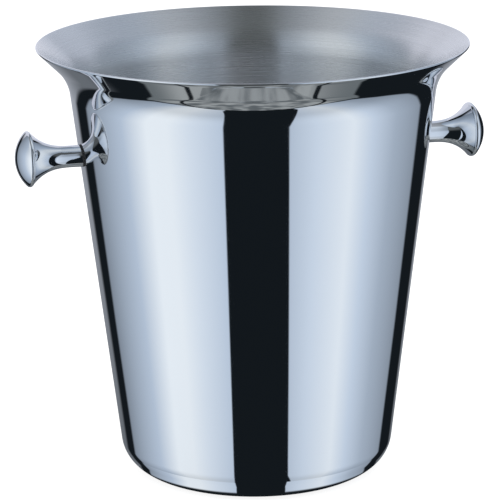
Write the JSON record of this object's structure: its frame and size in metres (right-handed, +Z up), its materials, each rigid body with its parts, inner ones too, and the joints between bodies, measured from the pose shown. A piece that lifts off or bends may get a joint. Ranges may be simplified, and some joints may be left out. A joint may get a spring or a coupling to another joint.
{
  "type": "champagne bucket",
  "caption": "Tapered polished steel bucket with a flared lip and trumpet-shaped side knobs, for chilling a bottle in ice.",
  "frame": {"origin": "middle of the footprint, on the surface the bucket stands on", "axes": "+Z up through the mouth; +X out along the right knob; -Y is the front between the knobs"},
  "size_m": [0.236, 0.21, 0.214],
  "materials": {
    "polished_steel_sheet": "mirror polished outside and on the rim, satin inside",
    "polished_steel_knob": "mirror polished",
    "brass_bush": "as turned",
    "black_rubber": "matt",
    "plain_steel": "satin"
  },
  "bodies": {
    "root": {"bucket_base": "polished_steel_sheet", "bucket_wall": "polished_steel_sheet", "bucket_lip": "polished_steel_sheet", "knob_stem_left": "polished_steel_knob", "knob_cap_left": "polished_steel_knob", "threaded_bush_left": "brass_bush", "foot_gasket_left": "black_rubber", "seal_washer_left": "black_rubber", "saddle_washer_left": "plain_steel", "spring_washer_left": "plain_steel", "knob_screw_left": "plain_steel", "knob_stem_right": "polished_steel_knob", "knob_cap_right": "polished_steel_knob", "threaded_bush_right": "brass_bush", "foot_gasket_right": "black_rubber", "seal_washer_right": "black_rubber", "saddle_washer_right": "plain_steel", "spring_washer_right": "plain_steel", "knob_screw_right": "plain_steel"}
  },
  "joints": []
}
